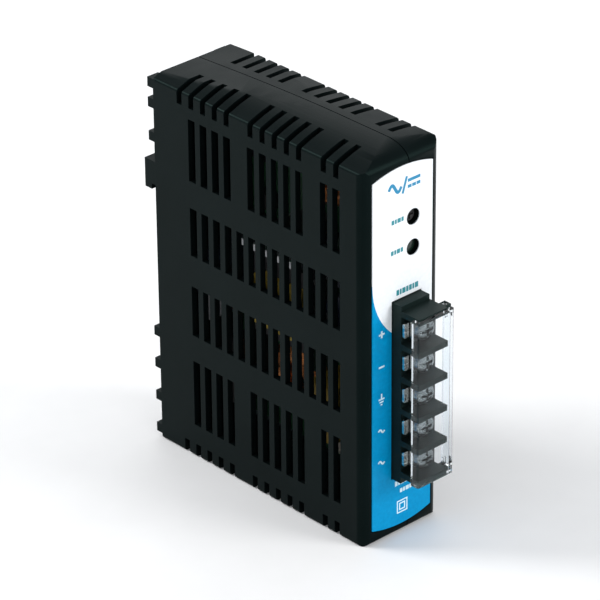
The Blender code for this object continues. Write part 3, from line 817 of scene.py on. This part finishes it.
def terminal_cover():
    low = COVER[0]
    bottom = barrier_span(POLES)[0] + 0.25
    top = BARRIERS_TOP - 0.3
    front, near, far = low.y, low.x, HINGE_X + COVER_SHEET / 2
    hinge_low, hinge_high = barrier_span(POLES)[1] + GAP, barrier_span(0)[0] - GAP
    inner = COVER_SHEET
    outline = [
        (near, front + COVER_FLANGE),
        *arc((near + 0.8, front + 0.8), 0.8, 180, 270, 5),
        *arc((far - 0.8, front + 0.8), 0.8, 270, 360, 5),
        (far, front + inner + 0.4),
        (far - inner, front + inner + 0.4),
        (far - inner - 0.2, front + inner),
        (near + inner + 0.2, front + inner),
        (near + inner, front + inner + 0.2),
        (near + inner, front + COVER_FLANGE),
    ]
    obj = new_object("clear_cover", prism(outline, 2, bottom, top))
    combine(obj, boxes(((far - inner, front + 0.5, hinge_low), (far - 0.002, HINGE_Y + 0.7, hinge_high))), "UNION")
    for start, end in ((hinge_high - 2.0, BARRIERS_TOP - 0.2), (barrier_span(POLES)[0] + 0.2, hinge_low + 2.0)):
        combine(obj, prism(circle((HINGE_X, HINGE_Y), 0.75, 24), 2, start, end), "UNION")
    soften(obj, 0.12)
    finish_piece(obj, CLEAR, "cover", "clear_plastic", "terminal_cover")


# ---------------------------------------------------------------- small front parts, clip, inside


def front_parts():
    low, high = box_mm("trimmer_rotor")
    z = (low.z + high.z) / 2
    radius = (high.x - low.x) / 2
    profile = [(0.0, low.y + 0.1), (radius - 0.5, low.y + 0.1), (radius - 0.2, low.y), (radius, low.y + 0.2)]
    rotor = new_object("rotor", revolved([*profile, (radius, high.y), (0.0, high.y)], (HOLE_X, z)))
    for wide, tall in ((2.8, 0.6), (0.6, 2.8)):
        tool = ((HOLE_X - wide / 2, low.y - 1, z - tall / 2), (HOLE_X + wide / 2, low.y + 0.7, z + tall / 2))
        combine(rotor, boxes(tool))
    soften(rotor, 0.06, 1, 45.0)
    finish_piece(rotor, TRIMMER_PLASTIC, "trimmer", "trimmer_plastic", "trimmer_rotor")


def rail_clip():
    low, high = CLIP
    near, bottom = low.y, low.z
    nose = high.z - 2.1
    outline = [
        (near, bottom),
        (near + CLIP_THICK - 0.6, bottom),
        (near + CLIP_THICK, bottom + 0.6),
        (near + CLIP_THICK, nose - 3.0),
        (high.y, nose - 2.6),
        (high.y, high.z - 1.2),
        (high.y - 1.2, high.z),
        (Y_BACK + RAIL_LIP, high.z),
        (Y_BACK + RAIL_LIP, nose),
        (near, nose),
    ]
    obj = new_object("sliding_clip", prism(outline, 0, -CLIP_HALF, CLIP_HALF))
    combine(obj, boxes(((-CLIP_FLANGE, near + 0.01, 9.5), (CLIP_FLANGE, near + 1.2, 43.5))), "UNION")
    combine(obj, boxes(((-2.6, near - 1, LUG_Z[0] - GAP), (2.6, near + 5, 36.0))))
    combine(obj, prism(rounded((-3.0, bottom + 1.4), (3.0, bottom + 3.8), 0.5), 1, near - 1, near + 5))
    soften(obj, 0.2)
    finish_piece(obj, CLIP_PLASTIC, "clip", "clip_plastic", "rail_clip")


def carried_over():
    """CAD nodes whose shape stays as it is: each gets the material of its slot in the record."""
    shown = {
        "trimmer_body", "ok_indicator", "clip_spring", "circuit_board", "mains_fuse", "surge_varistor",
        "inrush_thermistor", "mains_filter_capacitor", "line_filter_choke", "bridge_rectifier", "bulk_capacitor",
        "transformer_core", "transformer_winding", "primary_heatsink", "switching_transistor", "secondary_heatsink",
        "output_rectifier", "output_capacitor_1", "output_capacitor_2", "output_choke", "control_chip", "optocoupler",
    }
    slots = {entry["node"]: entry["material_slot"] for entry in frame["record"]["subparts"]}
    for name in sorted(shown):
        obj = frame["nodes"][name]
        obj.data.materials.clear()
        obj.data.materials.append(INSIDE[slots[name]])


# ---------------------------------------------------------------- stage


def studio():
    scene = bpy.context.scene
    scene.view_settings.view_transform = "Standard"
    scene.view_settings.look = "None"
    floor = new_object("floor", boxes(((-2500.0, -2500.0, -6.0), (2500.0, 2500.0, 0.0))))
    n = Nodes("pale_floor")
    speck = n.noise(40.0)
    floor.data.materials.append(
        n.set(
            Base_Color=n.ramp(speck, (0.3, (0.88, 0.88, 0.88)), (0.7, (0.91, 0.91, 0.91))),
            Roughness=0.85,
            Normal=n.bump(n.noise(900.0), 0.05, 0.0001),
        )
    )
    world = bpy.data.worlds.new("studio")
    scene.world = world
    world.use_nodes = True
    background = world.node_tree.nodes["Background"]
    background.inputs["Color"].default_value = (0.95, 0.97, 1.0, 1.0)
    background.inputs["Strength"].default_value = 0.7

    def area(name, place, size, power):
        data = bpy.data.lights.new(name, "AREA")
        data.shape = "DISK"
        data.size = size
        data.energy = power
        light = bpy.data.objects.new(name, data)
        light.location = place
        aim = Vector((0.0, 0.0, 0.06)) - Vector(place)
        light.rotation_mode = "QUATERNION"
        light.rotation_quaternion = aim.to_track_quat("-Z", "Y")
        scene.collection.objects.link(light)

    area("key_behind_left", (-0.57, 0.77, 0.78), 0.5, 9.0)
    area("sheen_behind_right", (0.80, 0.95, 0.70), 0.9, 2.0)
    area("front_fill", (0.55, -1.0, 0.55), 0.6, 7.0)

    # Viewing angles in degrees, distance and lens in millimetres
    azimuth, elevation, roll = math.radians(-42.78), math.radians(28.54), math.radians(-0.51)
    distance, lens = 1158.4, 241.8
    back = Vector(
        (
            math.sin(azimuth) * math.cos(elevation),
            -math.cos(azimuth) * math.cos(elevation),
            math.sin(elevation),
        )
    )
    data = bpy.data.cameras.new("camera")
    data.lens = lens
    data.sensor_width = 36.0
    data.clip_start, data.clip_end = 0.05, 20.0
    camera = bpy.data.objects.new("camera", data)
    across = back.cross(Vector((0, 0, 1))).normalized() * -1
    camera.rotation_mode = "QUATERNION"
    camera.rotation_quaternion = Quaternion(back, roll) @ (-back).to_track_quat("-Z", "Y")
    camera.location = (Vector((0.0, 0.0, 60.0)) + back * distance + across * -1.51) * MM
    scene.collection.objects.link(camera)
    scene.camera = camera


case_shells()
front_label()
prints()
terminal_base()
for pole_number in range(1, POLES + 1):
    terminal_pole(pole_number)
terminal_cover()
front_parts()
rail_clip()
carried_over()
studio()
